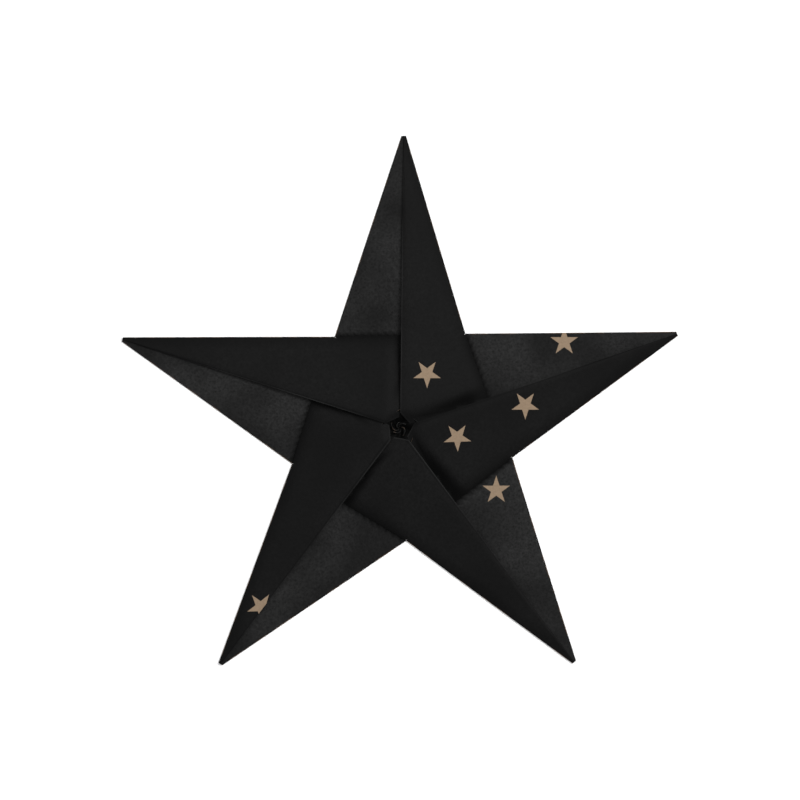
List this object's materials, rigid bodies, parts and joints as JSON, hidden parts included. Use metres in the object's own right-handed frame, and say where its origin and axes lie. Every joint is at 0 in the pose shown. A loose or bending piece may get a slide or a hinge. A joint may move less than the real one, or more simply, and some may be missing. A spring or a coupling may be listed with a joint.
{
  "type": "origami star",
  "caption": "Flat folded paper star with long overlapping flaps, one sheet, lying on its back.",
  "frame": {"origin": "the star's centre, on its flat back face", "axes": "+Z out of the folded front, +Y along one arm, +X to the right as seen from the front"},
  "size_m": [0.0884, 0.0842, 0.0022],
  "materials": {
    "printed_paper": "satin black print on brown kraft paper, with small brown stars"
  },
  "bodies": {
    "root": {"folded_sheet": "printed_paper"}
  },
  "joints": []
}
